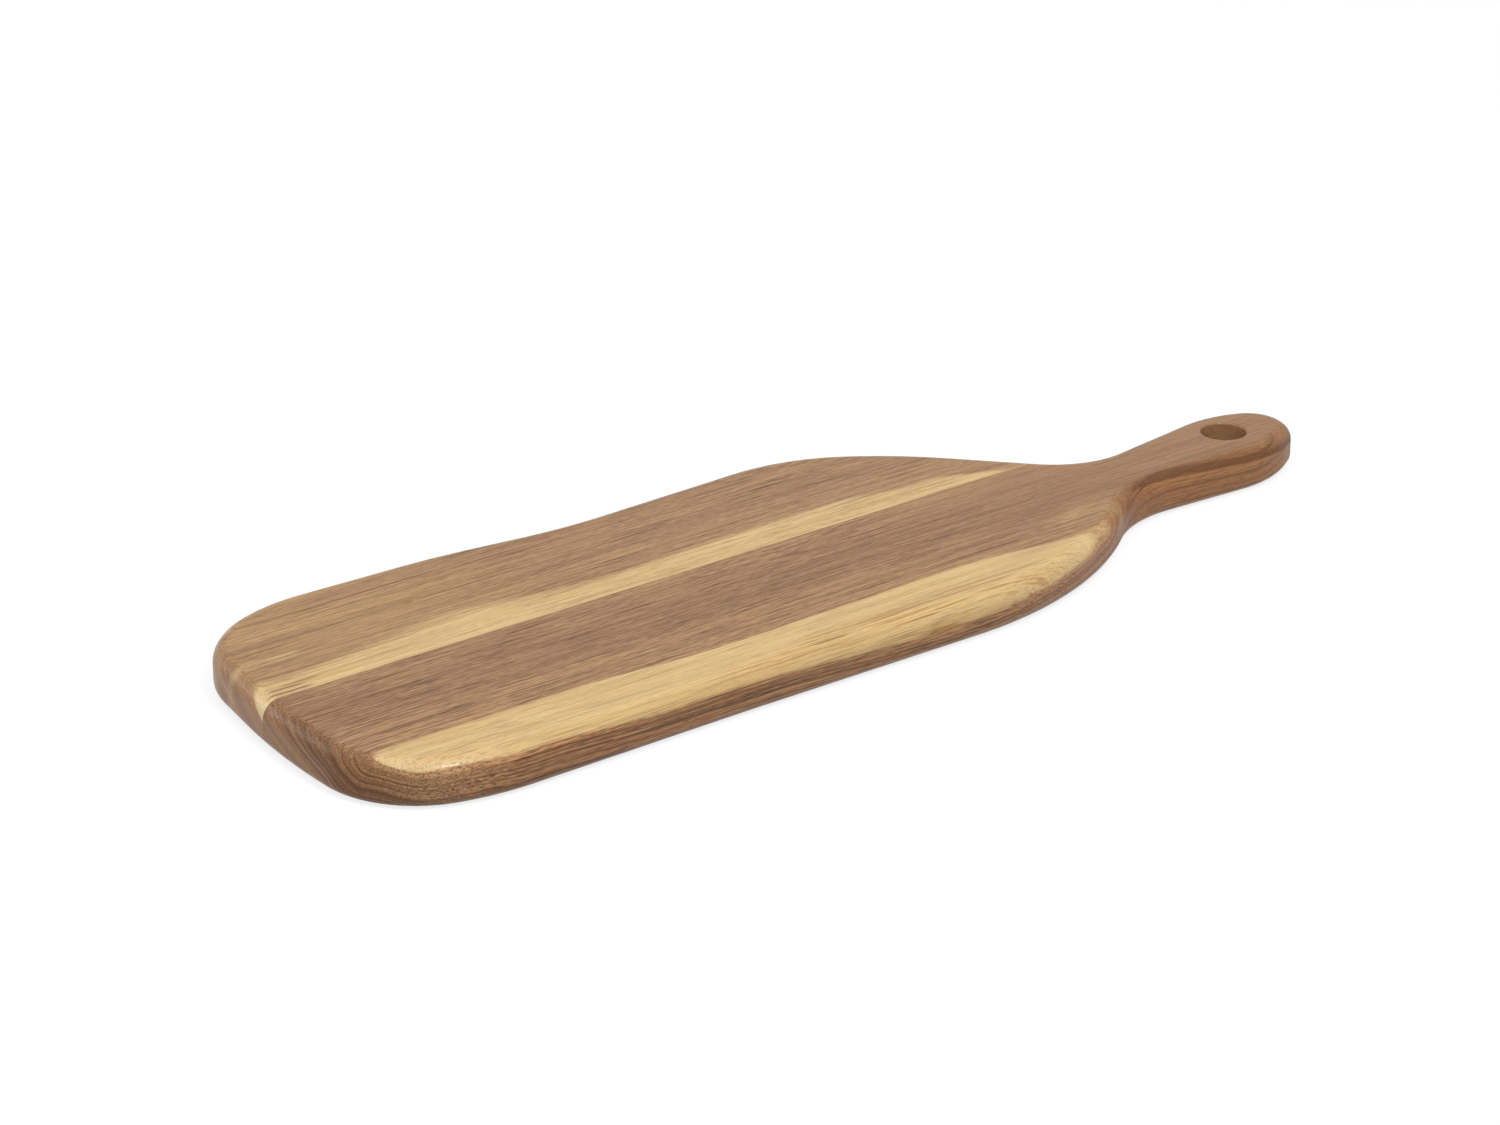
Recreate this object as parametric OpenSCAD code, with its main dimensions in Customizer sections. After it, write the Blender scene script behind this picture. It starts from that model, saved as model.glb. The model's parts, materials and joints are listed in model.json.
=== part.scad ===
// Paddle serving board: two staves edge-glued along one straight joint, with a rounded rim and a hanging hole.
// Millimetres. +X runs from the blade to the handle, +Y to the rear edge, +Z up from the resting face.

/* [Board] */
// Overall length, from the blade's end to the handle's tip
board_l = 525; // [500:1:560]
// Overall width across the blade
board_w = 179; // [170:1:200]
// Thickness of both staves
board_t = 19; // [15:0.5:24]
// Round on the upper edge
top_round = 7.5; // [4:0.5:9]
// Round on the lower edge
bottom_round = 5; // [3:0.5:6]

/* [Glue joint] */
// Joint line, from the middle of the board's width
glue_y = 5.5; // [0:0.5:12]
// Thickness of the glue film
glue_t = 0.2; // [0.1:0.05:0.4]

/* [Hanging hole] */
// Hole diameter
hole_d = 20; // [14:0.5:24]
// Hole centre, from the handle's tip
hole_inset = 34.5; // [30:0.5:40]
// Hole centre, from the middle of the board's width
hole_y = -19; // [-22:0.5:-17]
// Eased edge at both mouths of the hole
hole_ease = 1; // [0.5:0.25:1.5]

/* [Handle] */
// Middle of the handle beside the hole, from the middle of the board's width
handle_y = -20; // [-24:0.5:-16]
// Width of the handle beside the hole, between the outline's corner points
handle_w = 49; // [46:0.5:54]
// Distance of that width from the tip
handle_run = 26; // [24:0.5:30]
// Radius of the handle's sides
handle_r = 56; // [45:1:60]
// Middle of the neck, from the middle of the board's width
neck_y = -23.5; // [-27:0.5:-20]
// Width of the neck, between the outline's corner points
neck_w = 32; // [29:0.5:36]
// Distance of the neck from the tip
neck_run = 107.5; // [102:0.5:115]
// Radius of the neck's rear side
neck_rear_r = 38; // [28:1:46]
// Radius of the neck's front side
neck_front_r = 62; // [48:1:72]
// Width of the tip, between the outline's corner points
tip_w = 21.5; // [19:0.5:25]
// How far the tip's rear corner point lies beyond the tip
tip_rear_over = 4; // [3:0.25:5]
// How far the tip's front corner point lies behind the tip
tip_front_back = 3; // [2:0.25:4]
// Radius of the tip's rear corner
tip_rear_r = 18.5; // [15:0.5:20]
// Radius of the tip's front corner
tip_front_r = 14; // [12:0.5:16]

/* [Shoulders] */
// Distance of the rear slope from the tip
rear_slope_run = 161; // [156:1:168]
// Drop of the rear slope below the rear edge
rear_slope_drop = 36.5; // [32:0.5:40]
// Radius of the rear slope
rear_slope_r = 165; // [120:5:180]
// Distance of the rear shoulder from the tip
rear_shoulder_run = 204; // [198:1:212]
// Drop of the rear shoulder below the rear edge
rear_shoulder_drop = 6.5; // [4:0.5:9]
// Radius of the rear shoulder
rear_shoulder_r = 90; // [70:1:95]
// Distance of the front shoulder from the tip
front_shoulder_run = 177; // [172:1:184]
// How far the front shoulder's corner point lies beyond the front edge
front_shoulder_over = 0.7; // [0:0.1:2]
// Radius of the front shoulder
front_shoulder_r = 182; // [150:1:190]

/* [Blade edges] */
// Distance of the rear hollow from the blade's end
rear_hollow_run = 199; // [190:1:206]
// Depth of the rear hollow's corner point
rear_hollow = 10.5; // [7:0.5:13]
// Radius of the rear hollow
rear_hollow_r = 240; // [180:5:280]
// Distance of the rear swell from the blade's end
rear_swell_run = 136; // [130:1:142]
// Drop of the rear swell below the rear edge
rear_swell_drop = 2; // [1:0.25:3]
// Radius of the rear swell
rear_swell_r = 300; // [200:10:340]
// Distance of the front hollow from the blade's end
front_hollow_run = 167; // [150:1:185]
// Depth of the front hollow's corner point
front_hollow = 1.7; // [1:0.1:3]
// Radius of the front hollow
front_hollow_r = 2000; // [1500:50:2200]

/* [Blade end] */
// Distance of the rear edge's last bend from the blade's end
rear_ease_run = 57; // [52:1:62]
// How far that bend's corner point lies beyond the rear edge
rear_ease_over = 0.4; // [0:0.1:1]
// Radius of that bend
rear_ease_r = 78; // [60:1:84]
// Distance of the rear corner point from the blade's end
rear_corner_run = 15; // [12:0.5:18]
// Drop of the rear corner point below the rear edge
rear_corner_drop = 15.5; // [13:0.5:18]
// Radius of the rear corner
rear_corner_r = 51; // [40:1:53]
// Place of the end's bow, from the middle of the board's width
end_bow_y = -7; // [-10:0.5:-4]
// Radius of the end's bow
end_bow_r = 344; // [260:2:350]
// Distance of the front corner point from the front edge
front_corner_drop = 15; // [13:0.5:17]
// Radius of the front corner
front_corner_r = 45.5; // [38:0.5:46]
// Distance of the front edge's first bend from the blade's end
front_ease_run = 49.5; // [47:0.5:54]
// Depth of that bend's corner point
front_ease_in = 1.2; // [0.8:0.1:2]
// Radius of that bend
front_ease_r = 113; // [90:1:116]

/* [Hidden] */

// Largest gap between a curve of the outline and its chords, and the chords in each round of the rim
chord_gap = 0.08;
round_steps = 5;
// Fineness of the hole, and how far a cutter runs past the face it cuts
$fn = 96;
cut_over = 1;

// Datum lines of the outline, before it is centred on the origin
tip_x = board_l / 2;
end_x = -board_l / 2;
rear_y = board_w / 2;
front_y = -board_w / 2;

// Outline corners as x, y and radius, counter-clockwise from the handle's tip
corners = [
    [tip_x + tip_rear_over, handle_y + tip_w / 2, tip_rear_r],
    [tip_x - handle_run, handle_y + handle_w / 2, handle_r],
    [tip_x - neck_run, neck_y + neck_w / 2, neck_rear_r],
    [tip_x - rear_slope_run, rear_y - rear_slope_drop, rear_slope_r],
    [tip_x - rear_shoulder_run, rear_y - rear_shoulder_drop, rear_shoulder_r],
    [end_x + rear_hollow_run, rear_y - rear_hollow, rear_hollow_r],
    [end_x + rear_swell_run, rear_y - rear_swell_drop, rear_swell_r],
    [end_x + rear_ease_run, rear_y + rear_ease_over, rear_ease_r],
    [end_x + rear_corner_run, rear_y - rear_corner_drop, rear_corner_r],
    [end_x, end_bow_y, end_bow_r],
    [end_x, front_y + front_corner_drop, front_corner_r],
    [end_x + front_ease_run, front_y + front_ease_in, front_ease_r],
    [end_x + front_hollow_run, front_y + front_hollow, front_hollow_r],
    [tip_x - front_shoulder_run, front_y - front_shoulder_over, front_shoulder_r],
    [tip_x - neck_run, neck_y - neck_w / 2, neck_front_r],
    [tip_x - handle_run, handle_y - handle_w / 2, handle_r],
    [tip_x - tip_front_back, handle_y - tip_w / 2, tip_front_r],
];
count = len(corners);

// One corner: the directions to its neighbours and the angle between them
function unit(v) = v / norm(v);
function heading(v) = atan2(v[1], v[0]);
function corner(i) = corners[(i + count) % count];
function point(i) = [corner(i)[0], corner(i)[1]];
function back(i) = unit(point(i - 1) - point(i));
function ahead(i) = unit(point(i + 1) - point(i));
function half_angle(i) = acos(back(i) * ahead(i)) / 2;
function turn(i) = 180 - 2 * half_angle(i);
function spin(i) = cross(ahead(i), back(i)) > 0 ? 1 : -1;

// Radius of one corner's arc, limited where two arcs need more than the edge between them
function asked_reach(i) = corner(i)[2] / tan(half_angle(i));
function edge_room(i) = norm(point(i + 1) - point(i)) / (asked_reach(i) + asked_reach(i + 1));
function radius(i) = corner(i)[2] * min(1, edge_room(i - 1), edge_room(i));

// One corner's arc: its centre and where it starts
function bisector(i) = unit(back(i) + ahead(i));
function centre(i) = point(i) + bisector(i) * radius(i) / sin(half_angle(i));
function arc_start(i) = point(i) + back(i) * radius(i) / tan(half_angle(i));

// Furthest reach of the outline along one direction, met on an outward arc that faces it
function faces(i, d) = spin(i) > 0 && norm(d + bisector(i)) <= 2 * sin(turn(i) / 4);
function extent(d) = max([for (i = [0:count - 1]) if (faces(i, d)) centre(i) * d + radius(i)]);
mid = [extent([1, 0]) - extent([-1, 0]), extent([0, 1]) - extent([0, -1])] / 2;
half_l = (extent([1, 0]) + extent([-1, 0])) / 2;

// Places along the centred outline, each with its outward direction
function chords(i) = ceil(turn(i) / (2 * acos(1 - chord_gap / radius(i))));
function bearing(i, k) = heading(arc_start(i) - centre(i)) + spin(i) * turn(i) * k / chords(i);
function ray(a) = [cos(a), sin(a)];
stations = [
    for (i = [0:count - 1])
        for (k = [0:chords(i)])
            let (u = ray(bearing(i, k)))
                [centre(i) + radius(i) * u - mid, spin(i) * u]
];

// Section of the rim from the resting face to the upper face, as distance inside the outline and height
section = [
    for (k = [0:round_steps])
        let (u = ray(90 * k / round_steps))
            [bottom_round * (1 - u[1]), bottom_round * (1 - u[0])],
    for (k = [0:round_steps])
        let (u = ray(90 * k / round_steps))
            [top_round * (1 - u[0]), board_t - top_round * (1 - u[1])],
];

// The whole board as one skin: the rim, and both flat faces as fans round a point in the neck
module board() {
    n = len(section);
    m = len(stations);
    hub = [tip_x - neck_run, neck_y] - mid;
    skin = [for (s = stations) for (p = section) [each s[0] - s[1] * p[0], p[1]]];
    rim = [
        for (s = [0:m - 1])
            let (a = s * n, b = (s + 1) % m * n)
                for (j = [0:n - 2])
                    [a + j, a + j + 1, b + j + 1, b + j]
    ];
    under = [for (s = [0:m - 1]) [m * n, s * n, (s + 1) % m * n]];
    upper = [for (s = [0:m - 1]) [m * n + 1, (s + 1) % m * n + n - 1, s * n + n - 1]];
    polyhedron(concat(skin, [[each hub, 0], [each hub, board_t]]), concat(rim, under, upper));
}

// Hole with eased mouths
module hole() {
    translate([half_l - hole_inset, hole_y, 0]) {
        translate([0, 0, -cut_over])
            cylinder(d = hole_d, h = board_t + 2 * cut_over);
        hole_mouth();
        translate([0, 0, board_t])
            mirror([0, 0, 1])
                hole_mouth();
    }
}

// Flare that eases one mouth of the hole
module hole_mouth() {
    mouth_r = hole_d / 2 + hole_ease;
    rotate_extrude()
        difference() {
            translate([0, -cut_over])
                square([mouth_r, cut_over + hole_ease]);
            translate([mouth_r, hole_ease])
                circle(hole_ease);
        }
}

// Part of the board between two lines along its length
module between(y0, y1) {
    intersection() {
        board();
        translate([-board_l, y0, -cut_over])
            cube([2 * board_l, y1 - y0, board_t + 2 * cut_over]);
    }
}

module front_stave() {
    color("#8a6448")
        difference() {
            between(-board_w, glue_y - glue_t / 2);
            hole();
        }
}

module rear_stave() {
    color("#7d5b45")
        between(glue_y + glue_t / 2, board_w);
}

module glue_line() {
    color("#3a2a1e")
        between(glue_y - glue_t / 2, glue_y + glue_t / 2);
}

front_stave();
rear_stave();
glue_line();
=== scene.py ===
"""Looks of a paddle serving board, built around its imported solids.

Two wooden staves are edge-glued along one straight line. Each is cut here from one smooth board of the
same sizes as the solids, and gets a wood that is coloured through its whole thickness, so that the growth
rings on the serving face, the round edges and the end grain agree.
"""

import json
import logging
import math
from dataclasses import dataclass, replace
from enum import Enum
from typing import Any

import bmesh
import bpy
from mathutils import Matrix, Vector
from mathutils.geometry import delaunay_2d_cdt


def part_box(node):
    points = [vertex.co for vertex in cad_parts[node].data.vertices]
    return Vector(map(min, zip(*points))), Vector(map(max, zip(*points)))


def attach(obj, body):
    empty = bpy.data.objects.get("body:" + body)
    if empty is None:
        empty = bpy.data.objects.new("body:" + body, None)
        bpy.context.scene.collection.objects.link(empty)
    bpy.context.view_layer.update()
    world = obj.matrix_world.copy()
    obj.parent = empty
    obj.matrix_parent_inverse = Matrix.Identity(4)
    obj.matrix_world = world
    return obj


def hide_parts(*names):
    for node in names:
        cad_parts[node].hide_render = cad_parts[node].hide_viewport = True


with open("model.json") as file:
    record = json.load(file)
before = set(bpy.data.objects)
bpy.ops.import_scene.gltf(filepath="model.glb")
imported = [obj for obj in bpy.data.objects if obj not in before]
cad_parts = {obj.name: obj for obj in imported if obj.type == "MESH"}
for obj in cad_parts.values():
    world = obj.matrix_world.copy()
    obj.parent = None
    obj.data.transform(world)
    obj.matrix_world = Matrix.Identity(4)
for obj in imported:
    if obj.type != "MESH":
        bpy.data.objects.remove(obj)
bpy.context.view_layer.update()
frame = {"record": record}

LOG = logging.getLogger("paddle_board")
MM = 0.001
MERGE_GAP = 1e-6
LEVEL_GAP = 1e-5
CUT_GAP = 1e-7
INSIDE_FACES = 1
QUARTER_TURN = math.pi / 2
FACING = "facing"

Colour = tuple[float, float, float]
Point = tuple[float, float, float]
Stops = tuple[tuple[float, float], ...]

WHITE: Colour = (1.0, 1.0, 1.0)
BLACK: Colour = (0.0, 0.0, 0.0)


class Side(Enum):
    """A stave's side of the glue line, as the sign of Y."""

    FRONT = -1
    REAR = 1


def new_object(name: str, data: bpy.types.ID) -> bpy.types.Object:
    """Puts a new object into the scene.

    Args:
        name: The object's name.
        data: Its mesh, lamp or camera.

    Returns:
        The object, at the origin.
    """
    thing = bpy.data.objects.new(name, data)
    bpy.context.scene.collection.objects.link(thing)
    return thing


# Node trees


class Socket:
    """One output of a node tree, with arithmetic that adds Math nodes."""

    def __init__(self, tree: "Tree", link: bpy.types.NodeSocket) -> None:
        """Keeps the output and the tree that it is in."""
        self.tree = tree
        self.link = link

    def __add__(self, other: Any) -> "Socket":
        """Sum, in either order."""
        return self.tree.math("ADD", self, other)

    def __sub__(self, other: Any) -> "Socket":
        """Difference."""
        return self.tree.math("SUBTRACT", self, other)

    def __rsub__(self, other: Any) -> "Socket":
        """Difference, number first."""
        return self.tree.math("SUBTRACT", other, self)

    def __mul__(self, other: Any) -> "Socket":
        """Product, in either order."""
        return self.tree.math("MULTIPLY", self, other)

    def __truediv__(self, other: Any) -> "Socket":
        """Quotient."""
        return self.tree.math("DIVIDE", self, other)

    def __rtruediv__(self, other: Any) -> "Socket":
        """Quotient, number first."""
        return self.tree.math("DIVIDE", other, self)

    def __neg__(self) -> "Socket":
        """Opposite."""
        return self.tree.math("MULTIPLY", self, -1.0)

    __radd__ = __add__
    __rmul__ = __mul__


class Tree:
    """A node tree that grows one node at a time."""

    def __init__(self, nodes: bpy.types.NodeTree) -> None:
        """Wraps an empty node tree."""
        self.nodes = nodes

    def add(
        self, kind: str, settings: dict | None = None, sockets: dict | None = None, out: int | str = 0
    ) -> Socket:
        """Adds any node.

        Args:
            kind: The node's type.
            settings: Its properties, set before its sockets. "stops" are a ramp's (place, level) pairs.
            sockets: Values or links, by the input's name or number.
            out: The output that is wanted, by its name or number.

        Returns:
            The wanted output.
        """
        node = self.nodes.nodes.new(kind)
        for name, value in (settings or {}).items():
            if name == "stops":
                self.set_stops(node.color_ramp, value)
            else:
                setattr(node, name, value)
        for key, value in (sockets or {}).items():
            self.feed(node.inputs[key], value)
        return Socket(self, node.outputs[out] if len(node.outputs) else None)

    def feed(self, target: bpy.types.NodeSocket, value: Any) -> None:
        """Links sockets to an input, or sets the input's own value.

        Args:
            target: The input.
            value: A socket, a list of sockets or a plain value.
        """
        for item in value if isinstance(value, list) else [value]:
            if isinstance(item, Socket):
                self.nodes.links.new(item.link, target)
            else:
                target.default_value = item

    @staticmethod
    def set_stops(ramp: bpy.types.ColorRamp, stops: list[tuple[float, float]]) -> None:
        """Gives a ramp its stops, with a smooth curve through them.

        Args:
            ramp: The ramp of a new Color Ramp node.
            stops: Places from 0 to 1, each with a grey level.
        """
        ramp.interpolation = "CARDINAL"
        while len(ramp.elements) < len(stops):
            ramp.elements.new(1.0)
        for element, (place, level) in zip(ramp.elements, stops):
            element.position = place
            element.color = (level, level, level, 1.0)

    def math(self, operation: str, *values: Any) -> Socket:
        """Adds a Math node on values or sockets."""
        return self.add("ShaderNodeMath", {"operation": operation}, dict(enumerate(values)))

    def vector(self, x: Any, y: Any, z: Any) -> Socket:
        """Joins three values to a vector."""
        return self.add("ShaderNodeCombineXYZ", None, {"X": x, "Y": y, "Z": z})


class ShaderTree(Tree):
    """A material's nodes, with the helpers that the finishes share. Lengths are in millimetres."""

    MIX_FACTOR = 0
    MIX_A = 6
    MIX_B = 7
    MIX_OUT = 2
    NOISE_MIDDLE = 0.5

    def __init__(self, name: str) -> None:
        """Starts an empty material.

        Args:
            name: The material's name.
        """
        self.material = bpy.data.materials.new(name)
        self.material.use_nodes = True
        self.material.node_tree.nodes.clear()
        super().__init__(self.material.node_tree)

    def place(self) -> tuple[Socket, Socket, Socket]:
        """Gives the place on the piece.

        Returns:
            X along the grain, Y across the board and Z up, in millimetres.
        """
        spot = self.add("ShaderNodeTexCoord", None, None, "Object")
        return tuple(axis / MM for axis in self.split(spot))

    def split(self, vector: Socket) -> tuple[Socket, ...]:
        """Splits a vector into its three parts."""
        parts = self.add("ShaderNodeSeparateXYZ", None, {0: vector}).link.node.outputs
        return tuple(Socket(self, part) for part in parts)

    def noise(self, x: Any, y: Any, z: Any, detail: float = 0.0) -> Socket:
        """Adds cloudy noise of about one lump per unit.

        Args:
            x: First coordinate, already divided by the size of a lump.
            y: Second coordinate.
            z: Third coordinate.
            detail: How many finer layers it has.

        Returns:
            A value about 0.5, seldom under 0.2 or over 0.8.
        """
        fields = {"Vector": self.vector(x, y, z), "Scale": 1.0, "Detail": detail}
        return self.add("ShaderNodeTexNoise", {"noise_dimensions": "3D"}, fields)

    def step(self, value: Any, low: float, high: float) -> Socket:
        """Adds a smooth step.

        Args:
            value: What is tested.
            low: Where the step leaves 0.
            high: Where the step reaches 1.

        Returns:
            A value from 0 to 1.
        """
        fields = {"Value": value, "From Min": low, "From Max": high, "To Min": 0.0, "To Max": 1.0}
        return self.add("ShaderNodeMapRange", {"interpolation_type": "SMOOTHSTEP"}, fields)

    def along(self, value: Any, stops: Stops) -> Socket:
        """Draws a smooth curve through stops, level past its ends.

        Args:
            value: The coordinate.
            stops: Coordinates in rising order, each with the curve's value there.

        Returns:
            The curve's value at the coordinate.
        """
        first, last = stops[0][0], stops[-1][0]
        low, high = min(v for _, v in stops), max(v for _, v in stops)
        places = [((spot - first) / (last - first), (level - low) / (high - low)) for spot, level in stops]
        share = (value - first) / (last - first)
        ramp = self.add("ShaderNodeValToRGB", {"stops": places}, {"Fac": share})
        return ramp * (high - low) + low

    def mix(self, factor: Any, first: Any, second: Any, blend: str = "MIX") -> Socket:
        """Mixes two colours.

        Args:
            factor: The second colour's share.
            first: A colour or a colour socket.
            second: A colour or a colour socket.
            blend: The way of mixing.

        Returns:
            The mixed colour.
        """
        fields = {self.MIX_FACTOR: factor, self.MIX_A: first, self.MIX_B: second}
        fields = {key: (*v, 1.0) if isinstance(v, tuple) else v for key, v in fields.items()}
        settings = {"data_type": "RGBA", "blend_type": blend}
        return self.add("ShaderNodeMix", settings, fields, self.MIX_OUT)

    def surface(self, shader: Socket) -> bpy.types.Material:
        """Ends the tree with a surface.

        Args:
            shader: The surface's shader.

        Returns:
            The finished material.
        """
        self.add("ShaderNodeOutputMaterial", None, {"Surface": shader})
        return self.material


class SweepTree(Tree):
    """Geometry Nodes that sweep a rounded edge section along a closed path.

    One tree makes the board's edge and the wall of the hole. Its sizes are named inputs, in metres.
    """

    def __init__(self) -> None:
        """Builds the tree."""
        super().__init__(bpy.data.node_groups.new("swept_edge", "GeometryNodeTree"))
        face = self.nodes.interface
        face.new_socket("Geometry", in_out="OUTPUT", socket_type="NodeSocketGeometry")
        face.new_socket("Geometry", in_out="INPUT", socket_type="NodeSocketGeometry")
        self.keys: dict[str, str] = {}
        kinds = {"Steps": "NodeSocketInt", "Material": "NodeSocketMaterial"}
        for name in ("Thickness", "Top Round", "Bottom Round", "Lip", "Steps", "Outward", "Material"):
            kind = kinds.get(name, "NodeSocketFloat")
            self.keys[name] = face.new_socket(name, in_out="INPUT", socket_type=kind).identifier
        self.build()

    def build(self) -> None:
        """Adds the nodes: the section's lines and arcs, the sweep and the merge."""
        given = self.add("NodeGroupInput").link.node.outputs
        thick, top, bottom, lip, steps, outward, finish = (Socket(self, given[name]) for name in self.keys)
        shoulder = top - thick
        parts = [
            self.line((-bottom - lip, 0.0), (-bottom, 0.0)),
            self.arc(bottom, steps, 0.0, -bottom, -bottom),
            self.line((0.0, -bottom), (0.0, shoulder)),
            self.arc(top, steps, -QUARTER_TURN, -top, shoulder),
            self.line((-top, -thick), (-top - lip, -thick)),
        ]
        section = self.add("GeometryNodeJoinGeometry", None, {0: parts})
        facing = self.vector(outward, 1.0, 1.0)
        section = self.add("GeometryNodeTransform", None, {"Geometry": section, "Scale": facing})
        path = self.add("GeometryNodeMeshToCurve", None, {"Mesh": Socket(self, given["Geometry"])})
        path = self.add("GeometryNodeSetCurveNormal", {"mode": "Z_UP"}, {"Curve": path})
        swept = self.add("GeometryNodeCurveToMesh", None, {"Curve": path, "Profile Curve": section})
        merged = self.add("GeometryNodeMergeByDistance", None, {"Geometry": swept, "Distance": MERGE_GAP})
        real = self.add("GeometryNodeRealizeInstances", None, {"Geometry": merged})
        dressed = self.add("GeometryNodeSetMaterial", None, {"Geometry": real, "Material": finish})
        self.add("NodeGroupOutput", None, {"Geometry": dressed})

    def line(self, start: tuple[Any, Any], end: tuple[Any, Any]) -> Socket:
        """Adds a straight part of the section.

        Args:
            start: How far out and how far down it starts.
            end: How far out and how far down it ends.

        Returns:
            The line as a curve.
        """
        ends = {"Start": self.vector(*start, 0.0), "End": self.vector(*end, 0.0)}
        return self.add("GeometryNodeCurvePrimitiveLine", None, ends)

    def arc(self, radius: Socket, steps: Socket, start: float, out: Socket, down: Socket) -> Socket:
        """Adds a quarter round of the section.

        Args:
            radius: The round's radius.
            steps: How many chords it has.
            start: The angle at which it starts.
            out: How far out its centre is.
            down: How far down its centre is.

        Returns:
            The round as a curve.
        """
        fields = {"Resolution": steps + 1, "Radius": radius, "Start Angle": start}
        fields["Sweep Angle"] = QUARTER_TURN
        bow = self.add("GeometryNodeCurveArc", {"mode": "RADIUS"}, fields)
        shift = self.vector(out, down, 0.0)
        return self.add("GeometryNodeTransform", None, {"Geometry": bow, "Translation": shift})

    def sweep(self, path: list[Vector], sizes: dict[str, Any]) -> bpy.types.Mesh:
        """Sweeps the section along a path.

        Args:
            path: The path's points, in order, in metres.
            sizes: The tree's inputs by name.

        Returns:
            The swept strip as a plain mesh.
        """
        count = len(path)
        edges = [(i, (i + 1) % count) for i in range(count)]
        guide = bpy.data.meshes.new("path")
        guide.from_pydata([(p.x, p.y, 0.0) for p in path], edges, [])
        holder = new_object("path", guide)
        modifier = holder.modifiers.new("swept_edge", "NODES")
        modifier.node_group = self.nodes
        for name, value in sizes.items():
            modifier[self.keys[name]] = value
        graph = bpy.context.evaluated_depsgraph_get()
        strip = bpy.data.meshes.new_from_object(holder.evaluated_get(graph))
        bpy.data.objects.remove(holder)
        bpy.data.meshes.remove(guide)
        return strip


# Finishes


@dataclass(frozen=True)
class Grain:
    """The lumps of a noise in wood, drawn out along the grain, in millimetres.

    Lumps are tall times as high as they are wide. The mask that is made of them leaves 0 at the low value
    of the noise and reaches 1 at the high one.
    """

    length: float
    width: float
    detail: float = 0.0
    low: float = 0.4
    high: float = 0.7
    tall: float = 1.0


WANDER = Grain(190.0, 45.0, 1.0)
RIPPLE = Grain(120.0, 9.0, 1.0)
FLOW = Grain(150.0, 40.0)
FEATHER = Grain(30.0, 1.3, 2.0)
RING_BANDS = Grain(420.0, 3.4, 1.0, 0.42, 0.68)
RING_LINES = Grain(260.0, 0.4, 1.0, 0.46, 0.62)
PATCHES = Grain(120.0, 16.0, 1.0, 0.3, 0.75)
CLOUDS = Grain(130.0, 6.0, 2.0, 0.36, 0.7)
STREAKS = Grain(40.0, 0.7, 1.0, 0.52, 0.64, 6.0)
LONG_LINES = Grain(210.0, 0.7)
HAIRS = Grain(110.0, 0.45, 0.0, 0.57, 0.64)
PORES = Grain(40.0, 0.38, 0.0, 0.62, 0.66)
FLECKS = Grain(4.5, 0.38)
PORE_SPREAD = Grain(160.0, 5.0, 1.0)
SHEEN = Grain(40.0, 1.5, 2.0)


@dataclass(frozen=True)
class Spot:
    """A point of the wood as its material sees it.

    Its place is in millimetres. How it faces is told by how far it is end grain, a side of the board, and
    an edge instead of a flat face, each from 0 to 1.
    """

    tree: ShaderTree
    x: Socket
    y: Socket
    z: Socket
    end: Socket
    side: Socket
    edge: Socket

    @classmethod
    def on(cls, tree: ShaderTree) -> "Spot":
        """Reads the place and the stored facing in a material.

        Args:
            tree: The material's nodes.

        Returns:
            The point that is shaded.
        """
        facing = tree.add("ShaderNodeAttribute", {"attribute_name": FACING}, None, "Vector")
        end, side, flat = tree.split(facing)
        return cls(tree, *tree.place(), end, side, 1.0 - flat * flat)

    def noise(self, grain: Grain, seed: float) -> Socket:
        """Adds noise of drawn-out lumps, about 0.5."""
        across = (self.y / grain.width, self.z / (grain.width * grain.tall))
        return self.tree.noise(self.x / grain.length + seed, *across, grain.detail)

    def swing(self, grain: Grain, seed: float) -> Socket:
        """Adds noise of drawn-out lumps, about 0."""
        return self.noise(grain, seed) - self.tree.NOISE_MIDDLE

    def mask(self, grain: Grain, seed: float) -> Socket:
        """Adds drawn-out patches, 1 inside and 0 between them."""
        return self.tree.step(self.noise(grain, seed), grain.low, grain.high)

    def ring_mask(self, grain: Grain, ring: Socket, seed: float) -> Socket:
        """Adds bands that follow the growth rings, 1 inside and 0 between them."""
        bands = self.tree.noise(self.x / grain.length + seed, ring / grain.width, seed, grain.detail)
        return self.tree.step(bands, grain.low, grain.high)


@dataclass(frozen=True)
class GrainMark:
    """One streak on the serving face that stands out from the rest, in millimetres."""

    x_from: float
    x_to: float
    y: float
    width: float
    strength: float
    sway_run: float = 25.0
    sway_widths: float = 2.0
    taper: float = 0.5

    def mask(self, spot: Spot) -> Socket:
        """Draws the streak.

        Args:
            spot: The point.

        Returns:
            From 0 to the strength, over 0 for a dark streak and under 0 for a pale one.
        """
        tree = spot.tree
        middle, half = (self.x_from + self.x_to) / 2, (self.x_to - self.x_from) / 2
        lengthwise = tree.math("ABSOLUTE", spot.x - middle) / half
        sway = tree.noise(spot.x / self.sway_run, self.y, 0.0) - tree.NOISE_MIDDLE
        off_line = spot.y - self.y + sway * (self.sway_widths * self.width)
        crosswise = tree.math("ABSOLUTE", off_line) / self.width
        ends = tree.step(1.0 - lengthwise, 0.0, self.taper)
        return ends * tree.step(1.0 - crosswise, 0.0, 1.0) * self.strength


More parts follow.
